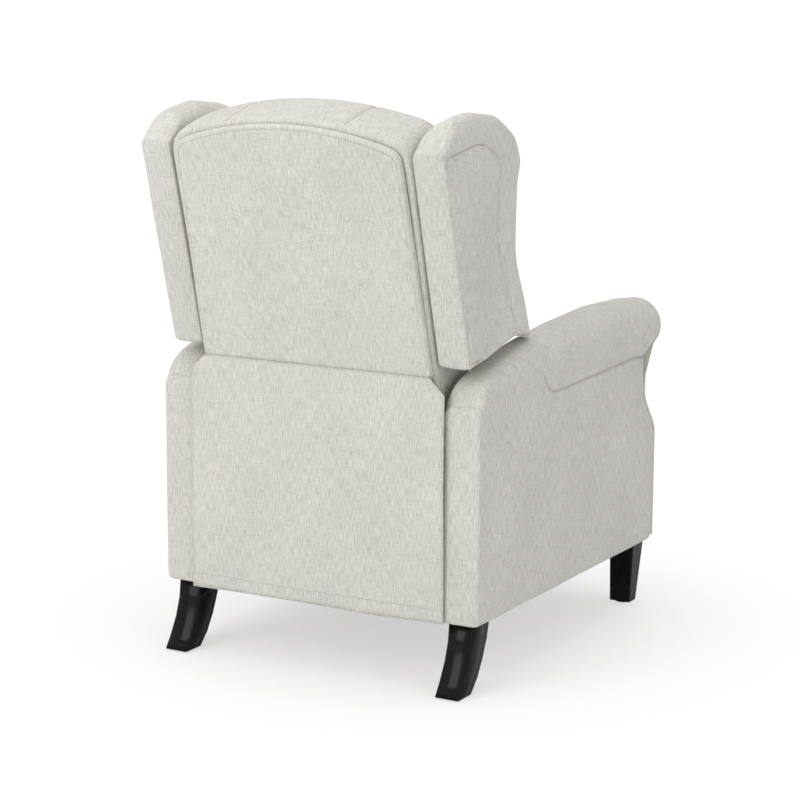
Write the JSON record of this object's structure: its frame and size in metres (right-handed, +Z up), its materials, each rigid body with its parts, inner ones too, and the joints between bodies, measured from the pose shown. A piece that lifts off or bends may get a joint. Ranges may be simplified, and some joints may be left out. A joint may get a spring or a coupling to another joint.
{
  "type": "wingback recliner",
  "caption": "Upholstered wingback push-back recliner with rolled arms, reclining tufted back, sliding seat, fold-out footrest, hanging rear flap and black wooden legs.",
  "frame": {"origin": "on the floor, under the middle of the chair's bounding box when upright and closed", "axes": "+Z up, -Y is the front of the chair, +X is the sitter's left"},
  "size_m": [0.672, 0.8699, 1.0405],
  "materials": {
    "upholstery": "heathered linen-look weave",
    "piping": "same cloth, cut on the bias",
    "deck_cloth": "non-woven deck cloth",
    "frame_wood": "sawn hardwood",
    "plywood": "plywood",
    "black_lacquer": "black satin lacquer",
    "glide_plastic": "matt",
    "mechanism_steel": "black painted steel",
    "fixings": "zinc plated",
    "webbing": "elastic webbing"
  },
  "bodies": {
    "base": {"arm_frame_left": "frame_wood", "arm_frame_right": "frame_wood", "arm_panel_left": "plywood", "arm_panel_right": "plywood", "arm_pad_left": "upholstery", "arm_pad_right": "upholstery", "arm_front_panel_left": "upholstery", "arm_front_panel_right": "upholstery", "arm_welt_left": "piping", "arm_welt_right": "piping", "front_leg_left": "black_lacquer", "front_leg_right": "black_lacquer", "rear_leg_left": "black_lacquer", "rear_leg_right": "black_lacquer", "leg_bolts": "fixings", "leg_glides": "glide_plastic", "middle_stretcher": "frame_wood", "rear_stretcher": "frame_wood", "corner_blocks": "frame_wood", "mechanism_base_left": "mechanism_steel", "mechanism_base_right": "mechanism_steel", "base_screws": "fixings"},
    "rear_swing": {"rear_swing_links": "mechanism_steel"},
    "front_swing": {"front_swing_links": "mechanism_steel"},
    "seat": {"seat_side_plate_left": "mechanism_steel", "seat_side_plate_right": "mechanism_steel", "seat_frame": "frame_wood", "seat_spacers": "frame_wood", "seat_bolts": "fixings", "seat_webbing": "webbing", "seat_deck": "deck_cloth", "seat_cushion": "upholstery"},
    "back": {"back_frame": "frame_wood", "back_bracket_left": "mechanism_steel", "back_bracket_right": "mechanism_steel", "back_bolts": "fixings", "back_pad": "upholstery", "tuft_buttons": "piping", "outer_back": "upholstery", "flap_tack_strip": "frame_wood", "wing_pad_left": "upholstery", "wing_pad_right": "upholstery", "wing_frame_left": "plywood", "wing_frame_right": "plywood"},
    "flap": {"rear_flap": "upholstery"},
    "cranks": {"crank_link_left": "mechanism_steel", "crank_link_right": "mechanism_steel", "torque_tube": "mechanism_steel"},
    "controls": {"control_link_left": "mechanism_steel", "control_link_right": "mechanism_steel"},
    "outer_links": {"outer_link_left": "mechanism_steel", "outer_link_right": "mechanism_steel"},
    "guides": {"guide_link_left": "mechanism_steel", "guide_link_right": "mechanism_steel"},
    "footrest": {"footrest_bracket_left": "mechanism_steel", "footrest_bracket_right": "mechanism_steel", "footrest_board": "plywood", "footrest_pad": "upholstery", "footrest_screws": "fixings"}
  },
  "joints": [
    {"name": "recline", "type": "hinge", "parent": "seat", "child": "back", "pos_m": [0, 0.21, 0.275], "axis": [-1, 0, 0], "range_deg": [0, 30]},
    {"name": "rear_swing", "type": "hinge", "parent": "base", "child": "rear_swing", "pos_m": [0, 0.11, 0.165], "axis": [1, 0, 0], "range_deg": [0, 50.5]},
    {"name": "seat_level", "type": "hinge", "parent": "rear_swing", "child": "seat", "pos_m": [0, 0.14804, 0.24657], "axis": [-1, 0, 0], "range_deg": [0, 50.5]},
    {"name": "front_swing", "type": "hinge", "parent": "base", "child": "front_swing", "pos_m": [0, -0.11, 0.165], "axis": [1, 0, 0], "range_deg": [0, 50.5]},
    {"name": "footrest_crank", "type": "hinge", "parent": "seat", "child": "cranks", "pos_m": [0, -0.313, 0.352], "axis": [-1, 0, 0], "range_deg": [0, 90.5]},
    {"name": "footrest_control", "type": "hinge", "parent": "seat", "child": "controls", "pos_m": [0, -0.28394, 0.3418], "axis": [-1, 0, 0], "range_deg": [0, 90.5]},
    {"name": "outer_fold", "type": "hinge", "parent": "cranks", "child": "outer_links", "pos_m": [0, -0.22452, 0.16791], "axis": [1, 0, 0], "range_deg": [0, 90.5]},
    {"name": "guide_fold", "type": "hinge", "parent": "cranks", "child": "guides", "pos_m": [0, -0.23127, 0.19714], "axis": [1, 0, 0], "range_deg": [0, 90.5]},
    {"name": "footrest_turn", "type": "hinge", "parent": "outer_links", "child": "footrest", "pos_m": [0, -0.35661, 0.3], "axis": [-1, 0, 0], "range_deg": [0, 90.5]},
    {"name": "flap_hang", "type": "hinge", "parent": "back", "child": "flap", "pos_m": [0, 0.325, 0.562], "axis": [1, 0, 0], "range_deg": [0, 30.5]}
  ],
  "couplings": [
    {"joint": "rear_swing", "follows": "recline", "ratio": 1.6667},
    {"joint": "seat_level", "follows": "recline", "ratio": 1.6667},
    {"joint": "front_swing", "follows": "recline", "ratio": 1.6667},
    {"joint": "footrest_crank", "follows": "recline", "ratio": 3},
    {"joint": "footrest_control", "follows": "recline", "ratio": 3},
    {"joint": "outer_fold", "follows": "recline", "ratio": 3},
    {"joint": "guide_fold", "follows": "recline", "ratio": 3},
    {"joint": "footrest_turn", "follows": "recline", "ratio": 3},
    {"joint": "flap_hang", "follows": "recline", "ratio": 1}
  ]
}
